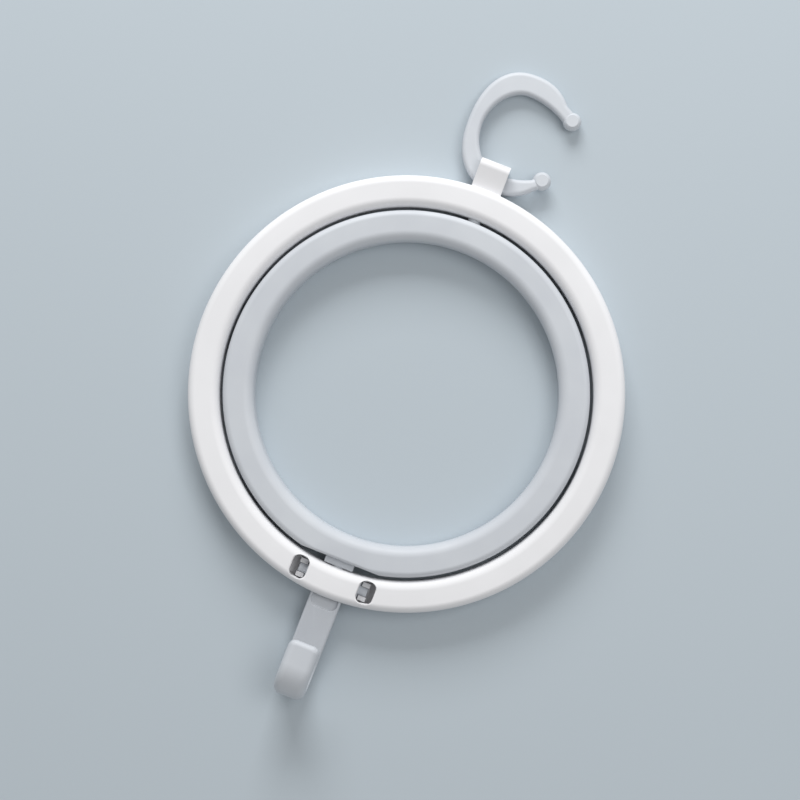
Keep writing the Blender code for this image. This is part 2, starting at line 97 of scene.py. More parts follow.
def colour(name, description, hex_colour):
    """Property for a colour, given as sRGB hex."""
    return FloatVectorProperty(name=name, description=description, default=linear(hex_colour),
                               size=3, min=0.0, max=1.0, subtype='COLOR')


class HangerRings(bpy.types.PropertyGroup):
    """Sizes of the white and the grey ring"""
    radius: length("Outer radius", "Radius of the white ring", 0.0800)
    outer_band: length("Outer band", "Width of the white ring's band", 0.0116)
    gap: length("Gap", "Space between the two rings", 0.00125)
    inner_band: length("Inner band", "Width of the grey ring's band", 0.0113)
    thickness: length("Thickness", "Thickness of both rings", 0.0120)
    wall: length("Wall", "Wall thickness of the hollow white shells", 0.0018)
    seam: length("Seam", "Height of the joint line between front and back shells", 0.0003)
    outside_edge: length("Outside edge", "Rounding of the white ring's outer front edge", 0.0028)
    bore_edge: length("Bore edge", "Rounding of the white ring's inner front edge", 0.0035)
    rim_edge: length("Rim edge", "Rounding of the grey ring's outer front edge", 0.0022)
    hole_edge: length("Hole edge", "Rounding of the grey ring's inner front edge", 0.0039)
    flat_edge: length("Flat edge", "Rounding along the grey ring's flat", 0.0012)
    back_edge: length("Back edge", "Rounding of the back edges", 0.0015)
    flat_depth: length("Flat", "Depth of the flat cut across the bottom of the grey ring", 0.0018)
    steps: IntProperty(name="Steps", description="Segments round each ring", default=192, min=48,
                       max=512)


class HangerEye(bpy.types.PropertyGroup):
    """Sizes of the eye on the white ring that the rail hook swings in"""
    width: length("Strap width", "Width of the strap over the rail hook's bar", 0.0113)
    reach: length("Reach", "How far the strap stands out from the ring", 0.0107)
    strap_thickness: length("Strap thickness", "Thickness of the strap", 0.0014)
    root_height: length("Root height", "Height of the strap where it leaves the ring", 0.0091)
    lip_radius: length("Lip radius", "Rounding of the strap's outer lip", 0.0022)
    end_wall: length("End wall", "Thickness of the wall that closes the eye", 0.0025)
    return_width: length("Return width", "Width of the tab behind the bar", 0.0052)
    return_thickness: length("Return thickness", "Thickness of the tab behind the bar", 0.0010)
    slope: FloatProperty(name="Slope", description="How steeply the strap climbs outward",
                         default=math.radians(18), subtype='ANGLE')


class HangerHinge(bpy.types.PropertyGroup):
    """Sizes of the lower hook's hinge, its windows and the grey ring's pivots"""
    barrel_radius: length("Barrel radius", "Radius of the lower hook's barrel in the ring", 0.0031)
    barrel_length: length("Barrel length", "Length of the barrel between its two saddles", 0.0206)
    trunnion_radius: length("Trunnion radius", "Radius of the ends seen in the windows", 0.0017)
    saddle_thickness: length("Saddle thickness", "Thickness of each white saddle", 0.0032)
    window_width: length("Window width", "Width of each window", 0.0062)
    window_length: length("Window length", "Length of each window across the band", 0.0088)
    window_corner: length("Window corner", "Corner radius of each window", 0.0026)
    window_lip: length("Window lip", "Rounding of each window's rim", 0.0006)
    pin_radius: length("Pin radius", "Radius of the grey ring's pivot pins", 0.00245)
    block_width: length("Block width", "Width of the lower pivot block", 0.0112)
    block_depth: length("Block depth", "Depth of the lower pivot block", 0.0052)


class HangerLowerHook(bpy.types.PropertyGroup):
    """Sizes of the J hook"""
    width: length("Width", "Width of the hook's band", 0.0119)
    thickness: length("Thickness", "Thickness of the hook's band", 0.0040)
    reach: length("Reach", "From the ring's edge to the middle of the bend", 0.0259)
    bend_radius: length("Bend radius", "Outer radius of the bend", 0.0125)
    tip_length: length("Tip length", "Length of the straight tip past the bend", 0.0089)
    tip_corner: length("Tip corner", "Corners of the tip seen from the front", 0.0028)
    tip_edge: length("Tip edge", "Rounding of the tip's end seen from the side", 0.0018)
    outer_edge: length("Outer edge", "Rounding of the band's edges on its outer side", 0.0030)
    inner_edge: length("Inner edge", "Rounding of the band's edges on its inner side", 0.0009)
    pocket_length: length("Pocket length", "Length of the recess in the neck", 0.0090)
    pocket_depth: length("Pocket depth", "Depth of the recess in the neck", 0.0017)
    pocket_rim: length("Pocket rim", "Width of the rims beside the recess", 0.0010)
    pocket_corner: length("Pocket corner", "Corner radius of the recess", 0.0026)
    pocket_slope: FloatProperty(name="Pocket slope",
                                description="How steeply the recess deepens towards the ring",
                                default=math.radians(12), subtype='ANGLE')


class HangerRailHook(bpy.types.PropertyGroup):
    """Sizes of the open hook"""
    bar_width: length("Bar width", "Width of the hook where it passes the eye", 0.0065)
    thickness: length("Thickness", "Thickness of the hook", 0.0046)
    edge: length("Edge", "Rounding of the hook's edges", 0.0017)
    rest_edge: length("Rest edge", "Edge size that sets how the hook rests on the surface", 0.0015)
    side_width: length("Side width", "Width of the curl's closed side", 0.0054)
    top_width: length("Top width", "Width of the curl's top", 0.0080)
    offset: length("Offset", "From the hanger's middle line to the middle of the curl", 0.0019)
    left: length("Left reach", "Reach of the curl to its closed side", 0.0177)
    right: length("Right reach", "Reach of the curl's outer edge to its open side", 0.0192)
    top: length("Top reach", "Reach of the curl upwards", 0.0236)
    bottom: length("Bottom reach", "Reach of the curl downwards", 0.0224)
    inside_right: length("Inside reach", "Reach of the curl's inner edge to its open side", 0.0224)
    arm_end: length("Arm end", "Width of each arm where it runs into its ball", 0.0048)
    ball_radius: length("Ball radius", "Radius of the balls on the ends", 0.0034)
    ball_thickness: length("Ball thickness", "Thickness between the balls' flats", 0.0052)
    clearance: length("Clearance", "Space between the bar and the ring", 0.0005)


class HangerFinish(bpy.types.PropertyGroup):
    """Colours of the plastics and the lights"""
    white: colour("White", "Colour of the outer ring's plastic", "F1F1F3")
    white_shade: colour("White shade", "Slightly duller areas of the white plastic", "EDEDEF")
    grey: colour("Grey", "Colour of the blue-grey plastic", "D1D5DA")
    grey_shade: colour("Grey shade", "Slightly duller areas of the blue-grey plastic", "CACED4")
    backdrop: colour("Backdrop", "Colour of the surface the hanger lies on", "BEC8CF")
    main_power: FloatProperty(name="Main light", description="Power of the large soft lamp",
                              default=12.2, min=0.0, unit='POWER')
    high_power: FloatProperty(name="High light",
                              description="Power of the soft lamp high on the right",
                              default=5.7, min=0.0, unit='POWER')
    ambient: FloatProperty(name="Ambient", description="Strength of the even light all round",
                           default=0.39, min=0.0)


class HangerSettings(bpy.types.PropertyGroup):
    """All settings of the hanger"""
    rings: PointerProperty(type=HangerRings)
    eye: PointerProperty(type=HangerEye)
    hinge: PointerProperty(type=HangerHinge)
    lower_hook: PointerProperty(type=HangerLowerHook)
    rail_hook: PointerProperty(type=HangerRailHook)
    finish: PointerProperty(type=HangerFinish)


# Shapes

def arc(centre_x, centre_y, radius, start, end, steps):
    """Points on a circular arc, both ends included, with angles in degrees."""
    points = []
    for index in range(steps + 1):
        angle = math.radians(start + (end - start) * index / steps)
        points.append((centre_x + radius * math.cos(angle), centre_y + radius * math.sin(angle)))
    return points


def rounded_rectangle(width, height, corner, steps=6):
    """Points round a rectangle with rounded corners, centred on the origin."""
    points = []
    for side_x, side_y, start in ((1, 1, 0), (-1, 1, 90), (-1, -1, 180), (1, -1, 270)):
        points += arc(side_x * (width / 2 - corner), side_y * (height / 2 - corner), corner,
                      start, start + 90, steps)
    return points


def settled(shape):
    """Merge doubles and point the faces outwards."""
    bmesh.ops.remove_doubles(shape, verts=shape.verts, dist=SAME_POINT)
    bmesh.ops.recalc_face_normals(shape, faces=shape.faces)
    return shape


def spun(section, steps, closed=True):
    """Turn a section of radius and height pairs once about Z."""
    shape = bmesh.new()
    points = [shape.verts.new((radius, 0.0, height)) for radius, height in section]
    first = 0 if closed else 1
    edges = [shape.edges.new((points[index - 1], points[index]))
             for index in range(first, len(points))]
    bmesh.ops.spin(shape, geom=points + edges, cent=(0, 0, 0), axis=(0, 0, 1), angle=math.tau,
                   steps=steps, use_merge=True)
    return settled(shape)


def prism(outline, low, high):
    """Extrude an outline in XY from one height to another."""
    shape = bmesh.new()
    base = shape.faces.new([shape.verts.new((x, y, low)) for x, y in outline])
    lifted = bmesh.ops.extrude_face_region(shape, geom=[base])
    top = [item for item in lifted["geom"] if isinstance(item, bmesh.types.BMVert)]
    bmesh.ops.translate(shape, verts=top, vec=(0, 0, high - low))
    return settled(shape)


def lofted(loops):
    """Bridge loops of equal length into one closed solid."""
    shape = bmesh.new()
    rings = []
    for loop in loops:
        points = [shape.verts.new(point) for point in loop]
        rings.append([shape.edges.new((points[index - 1], points[index]))
                      for index in range(len(points))])
    for lower, upper in zip(rings, rings[1:]):
        bmesh.ops.bridge_loops(shape, edges=lower + upper)
    for end in (rings[0], rings[-1]):
        bmesh.ops.contextual_create(shape, geom=end)
    return settled(shape)


def flared_pocket(width, height, corner, depth, lip, slope=0.0):
    """Cutter for a recess under Z = 0: straight walls, rounded rim, and a floor that may slope."""
    steps = 4
    levels = []
    for index in range(steps + 1):
        angle = math.radians(90 * index / steps)
        levels.append((-depth + lip - lip * math.cos(angle), -lip + lip * math.sin(angle)))
    for index in range(steps + 1):
        angle = math.radians(90 * index / steps)
        levels.append((-lip + lip * math.sin(angle), lip - lip * math.cos(angle)))
    levels.append((PAST, lip))
    loops = []
    for z, grow in levels:
        outline = rounded_rectangle(width + 2 * grow, height + 2 * grow, corner + grow)
        fall = math.tan(slope) * max(-z, 0.0) / depth
        loops.append([(x, y, z - fall * y) for x, y in outline])
    return lofted(loops)


def box(low, high):
    """Box between its lowest and its highest corner."""
    shape = bmesh.new()
    bmesh.ops.create_cube(shape, size=1.0)
    bmesh.ops.scale(shape, vec=Vector(high) - Vector(low), verts=shape.verts)
    bmesh.ops.translate(shape, vec=(Vector(low) + Vector(high)) / 2, verts=shape.verts)
    return shape


def rod(radius, start, end, segments=48):
    """Cylinder between two points."""
    start, end = Vector(start), Vector(end)
    shape = bmesh.new()
    bmesh.ops.create_cone(shape, cap_ends=True, segments=segments, radius1=radius, radius2=radius,
                          depth=(end - start).length)
    turn = (end - start).to_track_quat('Z', 'Y').to_matrix()
    bmesh.ops.rotate(shape, cent=(0, 0, 0), matrix=turn, verts=shape.verts)
    bmesh.ops.translate(shape, vec=(start + end) / 2, verts=shape.verts)
    return shape


def round_edges(shape, edges, radius, segments=4):
    """Bevel edges to this radius."""
    bmesh.ops.bevel(shape, geom=edges, affect='EDGES', offset=radius, offset_type='OFFSET',
                    segments=segments, profile=0.5, material=-1, clamp_overlap=True)
    return shape


def end_edges(shape):
    """Edges round the flat ends of a prism or a rod."""
    return [edge for edge in shape.edges
            if sum(len(face.verts) > 4 for face in edge.link_faces) == 1]


def on_side(shape):
    """Turn a prism drawn in XY so that its outline lies in Y and Z and its length along X."""
    bmesh.ops.transform(shape, matrix=SIDE_VIEW, verts=shape.verts)
    return shape


def tangent_angle(centre_x, centre_y, radius, x, y):
    """Angle on a circle, in degrees, where the line from an outside point touches it from below."""
    towards = math.atan2(y - centre_y, x - centre_x)
    return math.degrees(towards - math.acos(radius / math.hypot(x - centre_x, y - centre_y)))


# Objects

def new_object(name, shape):
    """Turn a bmesh into an object of the scene."""
    mesh = bpy.data.meshes.new(name)
    shape.to_mesh(mesh)
    shape.free()
    obj = bpy.data.objects.new(name, mesh)
    bpy.context.scene.collection.objects.link(obj)
    return obj


def combine(obj, shape, operation):
    """Cut a shape out of an object or add it, and keep the result as the object's mesh."""
    tool = new_object("tool", shape)
    modifier = obj.modifiers.new("tool", 'BOOLEAN')
    modifier.operation = operation
    modifier.solver = 'EXACT'
    modifier.object = tool
    graph = bpy.context.evaluated_depsgraph_get()
    baked = bpy.data.meshes.new_from_object(obj.evaluated_get(graph))
    obj.modifiers.clear()
    old_mesh, tool_mesh = obj.data, tool.data
    obj.data = baked
    bpy.data.objects.remove(tool)
    bpy.data.meshes.remove(old_mesh)
    bpy.data.meshes.remove(tool_mesh)
    return obj


def cut(obj, shape):
    """Cut a shape out of an object."""
    return combine(obj, shape, 'DIFFERENCE')


def join(obj, shape):
    """Add a shape to an object."""
    return combine(obj, shape, 'UNION')


def finished(obj, material, body, replaces=()):
    """Move a piece to the rings' place, smooth it, tie it to its body, and hide the imported nodes
    that it replaces.
    """
    obj.data.transform(Matrix.Translation(RING_CENTRE))
    obj.data.shade_smooth()
    obj.data.set_sharp_from_angle(angle=CREASE)
    obj.data.materials.clear()
    obj.data.materials.append(material)
    weighted = obj.modifiers.new("even shading", 'WEIGHTED_NORMAL')
    weighted.keep_sharp = True
    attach(obj, body)
    if replaces:
        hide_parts(*replaces)
    return obj


# Materials

def add_node(tree, kind, inputs=None, **settings):
    """Add a node with its settings, and set or link its inputs."""
    node = tree.nodes.new(kind)
    for name, value in settings.items():
        setattr(node, name, value)
    for socket, value in (inputs or {}).items():
        if isinstance(value, bpy.types.NodeSocket):
            tree.links.new(value, node.inputs[socket])
        else:
            node.inputs[socket].default_value = value
    return node


def per_metre(millimetres):
    """Scale of a pattern whose features are this many millimetres apart."""
    return 1000 / millimetres


def moulded_plastic(name, base, shade, roughness, gloss):
    """Moulded satin plastic: slow cloudiness, flow marks and a fine spark-eroded grain."""
    material = bpy.data.materials.get(name)
    if material:
        return material
    material = bpy.data.materials.new(name)
    material.use_nodes = True
    tree = material.node_tree
    tree.nodes.clear()
    coordinates = add_node(tree, 'ShaderNodeTexCoord').outputs["Object"]
    clouds = add_node(tree, 'ShaderNodeTexNoise',
                      {"Vector": coordinates, "Scale": per_metre(28), "Detail": 3.0,
                       "Roughness": 0.55})
    tint = add_node(tree, 'ShaderNodeMapRange',
                    {"Value": clouds.outputs["Fac"], "From Min": 0.35, "From Max": 0.65})
    colours = add_node(tree, 'ShaderNodeMix', {"Factor": tint.outputs["Result"]},
                       data_type='RGBA')
    colours.inputs["A"].default_value = (*base, 1.0)
    colours.inputs["B"].default_value = (*shade, 1.0)
    sheen = add_node(tree, 'ShaderNodeTexNoise',
                     {"Vector": coordinates, "Scale": per_metre(6), "Detail": 2.0,
                      "Roughness": 0.5})
    rough = add_node(tree, 'ShaderNodeMapRange',
                     {"Value": sheen.outputs["Fac"], "From Min": 0.3, "From Max": 0.7,
                      "To Min": roughness - 0.04, "To Max": roughness + 0.05})
    flow = add_node(tree, 'ShaderNodeTexNoise',
                    {"Vector": coordinates, "Scale": per_metre(9), "Detail": 1.0,
                     "Roughness": 0.4})
    waves = add_node(tree, 'ShaderNodeBump',
                     {"Height": flow.outputs["Fac"], "Strength": 0.12, "Distance": 0.0002})
    # The real grain is near 0.1 mm. It is drawn at 0.7 mm, as coarse as it needs to show.
    grain = add_node(tree, 'ShaderNodeTexNoise',
                     {"Vector": coordinates, "Scale": per_metre(0.7), "Detail": 2.0,
                      "Roughness": 0.6})
    skin = add_node(tree, 'ShaderNodeBump',
                    {"Height": grain.outputs["Fac"], "Strength": 0.10, "Distance": 0.00006,
                     "Normal": waves.outputs["Normal"]})
    shader = add_node(tree, 'ShaderNodeBsdfPrincipled',
                      {"Base Color": colours.outputs["Result"],
                       "Roughness": rough.outputs["Result"], "Normal": skin.outputs["Normal"],
                       "IOR": 1.5, "Specular IOR Level": gloss, "Metallic": 0.0})
    add_node(tree, 'ShaderNodeOutputMaterial', {"Surface": shader.outputs["BSDF"]})
    return material


def white_plastic(finish):
    """White ABS: bright and even, with a soft broad gloss."""
    return moulded_plastic("white_moulded_abs", finish.white, finish.white_shade,
                           roughness=0.56, gloss=0.22)


def grey_plastic(finish):
    """Blue-grey ABS: moulded a little smoother than the white, so slightly glossier."""
    return moulded_plastic("blue_grey_moulded_abs", finish.grey, finish.grey_shade,
                           roughness=0.46, gloss=0.3)


# Rings

def front_section(rings, outside, inside, outside_edge, inside_edge, hollow):
    """Section of a front shell, from its face down its outer side, back up its inner side."""
    top = rings.thickness
    joint = MID_HEIGHT + rings.seam / 2
    edge = rings.seam  # chamfer along the joint line
    under = [(outside - edge / 2, joint)]
    if hollow:
        roof = top - rings.wall
        corner = 0.0013  # bevel in the corners under the roof
        under += [(outside - rings.wall, joint), (outside - rings.wall, roof - corner),
                  (outside - rings.wall - corner, roof), (inside + rings.wall + corner, roof),
                  (inside + rings.wall, roof - corner), (inside + rings.wall, joint)]
    under += [(inside + edge / 2, joint)]
    return (
        arc(outside - outside_edge, top - outside_edge, outside_edge, 90, 0, 9)
        + [(outside, joint + edge)] + under + [(inside, joint + edge)]
        + arc(inside + inside_edge, top - inside_edge, inside_edge, 180, 90, 9)
    )


def back_section(rings, outside, inside, hollow):
    """Section of a back shell, from its outer side, along its back, up its inner side."""
    joint = MID_HEIGHT - rings.seam / 2
    edge = rings.seam  # chamfer along the joint line
    round_over = rings.back_edge
    above = [(inside + edge / 2, joint)]
    if hollow:
        above += [(inside + rings.wall, joint), (inside + rings.wall, rings.wall),
                  (outside - rings.wall, rings.wall), (outside - rings.wall, joint)]
    above += [(outside - edge / 2, joint)]
    return (
        [(outside, joint - edge)] + arc(outside - round_over, round_over, round_over, 0, -90, 6)
        + arc(inside + round_over, round_over, round_over, 270, 180, 6)
        + [(inside, joint - edge)] + above
    )


def ejector_marks(from_centre, count, radius=0.0018, depth=0.00015):
    """Shallow discs that the ejector pins of a mould leave on a back face."""
    shape = bmesh.new()
    for index in range(count):
        angle = math.tau * (index + 0.5) / count
        x, y = from_centre * math.cos(angle), from_centre * math.sin(angle)
        bmesh.ops.create_cone(shape, cap_ends=True, segments=28, radius1=radius, radius2=radius,
                              depth=2 * depth, matrix=Matrix.Translation((x, y, 0.0)))
    return shape


def pivot_bore(hinge, low, high):
    """Cutter for a pivot's hole, between two places along Y."""
    return rod(hinge.pin_radius + CLEARANCE, (0, low, MID_HEIGHT), (0, high, MID_HEIGHT))


def bores_in(obj, hinge, bore_radius, outside_radius):
    """Cut the pivots' holes through the inner wall of a white shell, at its top and bottom."""
    margin = 0.0006  # past both faces of the wall
    cut(obj, pivot_bore(hinge, bore_radius - margin, outside_radius + margin))
    cut(obj, pivot_bore(hinge, -outside_radius - margin, -bore_radius + margin))


def outer_front_shell(settings):
    """White front shell, with its two windows and the room for the lower hook."""
    rings, hinge, hook = settings.rings, settings.hinge, settings.lower_hook
    bore = rings.radius - rings.outer_band
    section = front_section(rings, rings.radius, bore, rings.outside_edge, rings.bore_edge, True)
    shell = new_object("outer_ring_front_shell", spun(section, rings.steps))
    half = hook.width / 2 + CLEARANCE
    cut(shell, box((-half, -rings.radius - PAST, 0.0),
                   (half, HINGE_Y, MID_HEIGHT + hinge.barrel_radius + CLEARANCE)))
    saddle_end = hinge.barrel_length / 2 + CLEARANCE + hinge.saddle_thickness
    window_x = saddle_end - hinge.window_width / 8
    for side in (-1, 1):
        window = flared_pocket(hinge.window_width, hinge.window_length, hinge.window_corner,
                               2 * rings.wall, hinge.window_lip)
        bmesh.ops.translate(window, vec=(side * window_x, HINGE_Y + CLEARANCE, rings.thickness),
                            verts=window.verts)
        cut(shell, window)
    bores_in(shell, hinge, bore, bore + rings.wall)
    return shell


def outer_back_shell(settings):
    """White back shell, with the room for the lower hook and the marks of its mould."""
    rings, hinge, hook = settings.rings, settings.hinge, settings.lower_hook
    bore = rings.radius - rings.outer_band
    section = back_section(rings, rings.radius, bore, True)
    shell = new_object("outer_ring_back_shell", spun(section, rings.steps))
    half = hook.width / 2 + CLEARANCE
    cut(shell, box((-half, -rings.radius - PAST, -PAST / 2),
                   (half, HINGE_Y + hinge.barrel_radius + CLEARANCE, MID_HEIGHT)))
    bores_in(shell, hinge, bore, bore + rings.wall)
    cut(shell, ejector_marks(rings.radius - rings.outer_band / 2, 10))
    return shell


def saddles(settings):
    """The two white ribs whose open slots hold the lower hook's round ends."""
    rings, hinge = settings.rings, settings.hinge
    bore = rings.radius - rings.outer_band
    near = hinge.barrel_length / 2 + CLEARANCE
    far = near + hinge.saddle_thickness
    slot = hinge.trunnion_radius + 0.00005  # a snug fit
    top = MID_HEIGHT + hinge.trunnion_radius / 2
    foot = rings.wall / 2
    high = -math.sqrt((bore + rings.wall) ** 2 - near ** 2) - CLEARANCE
    low = -math.sqrt((rings.radius - rings.wall) ** 2 - far ** 2) + CLEARANCE
    outline = [(high, foot), (high, top), (HINGE_Y + slot, top)]
    outline += arc(HINGE_Y, MID_HEIGHT, slot, 0, -180, 16)
    outline += [(HINGE_Y - slot, top), (low, top), (low, foot)]
    obj = None
    for side in (-1, 1):
        start, end = sorted((side * near, side * far))
        shape = on_side(prism(outline, start, end))
        round_edges(shape, end_edges(shape), SMALL_EDGE, 3)
        obj = join(obj, shape) if obj else new_object("bearing_saddles", shape)
    return obj


def eye_strap(settings):
    """Strap over the bar: it climbs outward to a rounded lip and turns down at one side."""
    rings, eye = settings.rings, settings.eye
    rise = math.tan(eye.slope)
    root_depth = 0.0014  # how far the strap reaches into the ring
    side_edge, wall_edge = 0.00045, 0.0004
    start_y = rings.radius - root_depth
    end_y = rings.radius + eye.reach
    lip_y = end_y - eye.lip_radius
    drop = eye.strap_thickness / math.cos(eye.slope)
    start_z = eye.root_height + (start_y - rings.radius) * rise
    lip_top = eye.root_height + (lip_y - rings.radius) * rise
    lip_z = lip_top - eye.lip_radius / math.cos(eye.slope)
    outline = [(start_y, start_z)]
    outline += arc(lip_y, lip_z, eye.lip_radius, 90 + math.degrees(eye.slope), 0, 10)
    outline += [(end_y, lip_top - drop), (lip_y, lip_top - drop), (start_y, start_z - drop)]
    shape = on_side(prism(outline, -eye.width / 2, eye.width / 2))
    round_edges(shape, end_edges(shape), side_edge)
    strap = new_object("eye_strap", shape)
    right = eye.width / 2
    joint = MID_HEIGHT + rings.seam / 2
    wall = box((right - eye.return_width, end_y - eye.end_wall, joint),
               (right - EYE_INSET, end_y - EYE_INSET, lip_top - drop / 2))
    upright = [edge for edge in wall.edges
               if abs(edge.verts[0].co.z - edge.verts[1].co.z) > edge.calc_length() / 2]
    round_edges(wall, upright, wall_edge)
    return join(strap, wall)


def eye_return(settings):
    """Tab behind the bar, and the wall on its end that meets the strap's wall."""
    rings, eye = settings.rings, settings.eye
    start_y = rings.radius - rings.wall / 2
    end_y = rings.radius + eye.reach - EYE_INSET
    inside_y = end_y - eye.end_wall
    joint = MID_HEIGHT - rings.seam / 2
    lift = 0.00005  # just clear of the surface under it
    heel, corner = 0.0008, 0.0006  # rounding outside and inside the bend
    outline = [(start_y, lift)] + arc(end_y - heel, lift + heel, heel, -90, 0, 5)
    outline += [(end_y, joint), (inside_y, joint)]
    outline += arc(inside_y - corner, eye.return_thickness + corner, corner, 0, -90, 4)
    outline += [(start_y, eye.return_thickness)]
    high = eye.width / 2 - EYE_INSET
    shape = on_side(prism(outline, high - eye.return_width, high))
    round_edges(shape, end_edges(shape), SMALL_EDGE, 3)
    return new_object("eye_return_tab", shape)


def flat_cutter(rings, inner_radius):
    """Removes the bottom of the grey ring up to its flat and rounds the flat's edges."""
    flat_y = rings.flat_depth - inner_radius
    top, front, back = rings.thickness, rings.flat_edge, rings.back_edge
    far_y = -inner_radius - 0.01
    half_length = 0.03  # more than half the flat's own length
    outline = [(far_y, -PAST), (flat_y + back, -PAST)]
    outline += arc(flat_y + back, back, back, -90, -180, 6)
    outline += arc(flat_y + front, top - front, front, 180, 90, 6)
    outline += [(flat_y + front, top + PAST), (far_y, top + PAST)]
    return on_side(prism(outline, -half_length, half_length))


def inner_shell(settings, name, section):
    """Shell of the grey ring, with its flat and the seats of its pin and its block."""
    rings, hinge = settings.rings, settings.hinge
    inner_radius = rings.radius - rings.outer_band - rings.gap
    shell = new_object(name, spun(section, rings.steps))
    cut(shell, flat_cutter(rings, inner_radius))
    half_width = hinge.block_width / 2 + CLEARANCE
    half_depth = hinge.block_depth / 2 + CLEARANCE
    flat_y = rings.flat_depth - inner_radius
    seat = SEAT + SEAT_GAP
    cut(shell, box((-half_width, flat_y - PAST, MID_HEIGHT - half_depth),
                   (half_width, flat_y + seat, MID_HEIGHT + half_depth)))
    cut(shell, pivot_bore(hinge, inner_radius - seat, inner_radius + PAST / 2))
    return shell


def inner_ring_shells(settings):
    """Front and back shell of the grey ring."""
    rings = settings.rings
    outside = rings.radius - rings.outer_band - rings.gap
    inside = outside - rings.inner_band
    section = front_section(rings, outside, inside, rings.rim_edge, rings.hole_edge, False)
    front = inner_shell(settings, "inner_ring_front_shell", section)
    section = back_section(rings, outside, inside, False)
    back = inner_shell(settings, "inner_ring_back_shell", section)
    cut(back, ejector_marks((outside + inside) / 2, 8))
    return front, back


# Pivots

def upper_pin(settings):
    """Pin from the grey ring into the white ring, across the gap at the top."""
    rings, hinge = settings.rings, settings.hinge
    bore = rings.radius - rings.outer_band
    start = bore - rings.gap - SEAT
    end = bore + 0.0044  # past the white ring's inner wall, short of its outer one
    shape = rod(hinge.pin_radius, (0, start, MID_HEIGHT), (0, end, MID_HEIGHT), 64)
    round_edges(shape, end_edges(shape), PIN_EDGE)
    return new_object("upper_pin", shape)


def lower_block(settings):
    """Block between the rings at the bottom, and the pin that it turns on in the white ring."""
    rings, hinge = settings.rings, settings.hinge
    bore = rings.radius - rings.outer_band
    flat_y = rings.flat_depth - (bore - rings.gap)
    block_end = -bore + 0.0004  # clear of the white ring
    block_edge = 0.00035
    half_width, half_depth = hinge.block_width / 2, hinge.block_depth / 2
    shape = box((-half_width, block_end, MID_HEIGHT - half_depth),
                (half_width, flat_y + SEAT, MID_HEIGHT + half_depth))
    round_edges(shape, list(shape.edges), block_edge, 3)
    block = new_object("lower_block", shape)
    pin_low = HINGE_Y + hinge.barrel_radius + 0.00045  # clear of the lower hook's barrel
    pin_high = block_end + 0.001  # inside the block
    return join(block, rod(hinge.pin_radius, (0, pin_low, MID_HEIGHT),
                           (0, pin_high, MID_HEIGHT), 64))


# Lower hook

def lower_hook_outline(settings):
    """Side view: neck, bend and level tip, with the rounding of the edge after each point.

    It also gives the number of the tip's first corner and the slope of the neck's front.
    """
    rings, hinge, hook = settings.rings, settings.hinge, settings.lower_hook
    bend_y, bend_z = -(rings.radius + hook.reach), hook.bend_radius
    inside = hook.bend_radius - hook.thickness
    neck_top = MID_HEIGHT + hinge.barrel_radius
    neck_low = MID_HEIGHT - hinge.barrel_radius
    back_touch = tangent_angle(bend_y, bend_z, hook.bend_radius, -rings.radius, neck_low)
    front_touch = tangent_angle(bend_y, bend_z, inside, -rings.radius, neck_top)
    tip_y = bend_y + hook.tip_length
    outer = [(HINGE_Y, neck_low), (-rings.radius, neck_low)]
    outer += arc(bend_y, bend_z, hook.bend_radius, back_touch, -270, 56)
    tip = [(tip_y, bend_z + hook.bend_radius)]
    inner = [(tip_y, bend_z + inside)] + arc(bend_y, bend_z, inside, -270, front_touch, 44)
    inner += [(-rings.radius, neck_top)]
    edges = [hook.outer_edge] * len(outer) + [hook.tip_corner]
    edges += [hook.inner_edge] * len(inner) + [0.0]
    outline = outer + tip + inner + [(HINGE_Y, neck_top)]
    return outline, edges, len(outer), math.radians(front_touch + 90)


def hook_band(settings):
    """The hook's outline made solid, crowned on its outer side and crisp on its inner side."""
    hook = settings.lower_hook
    outline, roundings, tip, slope = lower_hook_outline(settings)
    across = {tip: hook.tip_edge, tip + 1: hook.inner_edge}
    shape = on_side(prism(outline, -hook.width / 2, hook.width / 2))
    weight = shape.edges.layers.float.new("bevel_weight_edge")

    def corner(vert):
        """Number of the outline point that a corner of the prism stands on."""
        return min(range(len(outline)), key=lambda index: math.dist(outline[index], vert.co.yz))

    for edge in shape.edges:
        first, last = sorted(corner(vert) for vert in edge.verts)
        if first == last:
            rounding = across.get(first, 0.0)
        else:
            rounding = roundings[first if last == first + 1 else last]
        edge[weight] = rounding / hook.outer_edge
    band = new_object("folding_hook", shape)
    bevel = band.modifiers.new("rounding", 'BEVEL')
    bevel.width = hook.outer_edge
    bevel.segments = 8
    bevel.limit_method = 'WEIGHT'
    bevel.use_clamp_overlap = False
    return band, slope


def folding_hook(settings):
    """The band with its barrel, its round ends and the recess in its neck."""
    rings, hinge, hook = settings.rings, settings.hinge, settings.lower_hook
    obj, slope = hook_band(settings)
    half = hinge.barrel_length / 2
    barrel = rod(hinge.barrel_radius, (-half, HINGE_Y, MID_HEIGHT), (half, HINGE_Y, MID_HEIGHT),
                 64)
    round_edges(barrel, end_edges(barrel), SMALL_EDGE, 3)
    join(obj, barrel)
    reach = half + hinge.saddle_thickness
    ends = rod(hinge.trunnion_radius, (-reach, HINGE_Y, MID_HEIGHT),
               (reach, HINGE_Y, MID_HEIGHT))
    round_edges(ends, end_edges(ends), PIN_EDGE)
    join(obj, ends)
    pocket = flared_pocket(hook.width - 2 * hook.pocket_rim, hook.pocket_length,
                           hook.pocket_corner, hook.pocket_depth, lip=0.0004,
                           slope=hook.pocket_slope)
    bmesh.ops.rotate(pocket, cent=(0, 0, 0), matrix=Matrix.Rotation(slope, 3, 'X'),
                     verts=pocket.verts)
    bmesh.ops.translate(pocket, vec=(0, -rings.radius, MID_HEIGHT + hinge.barrel_radius),
                        verts=pocket.verts)
    return cut(obj, pocket)


# Rail hook

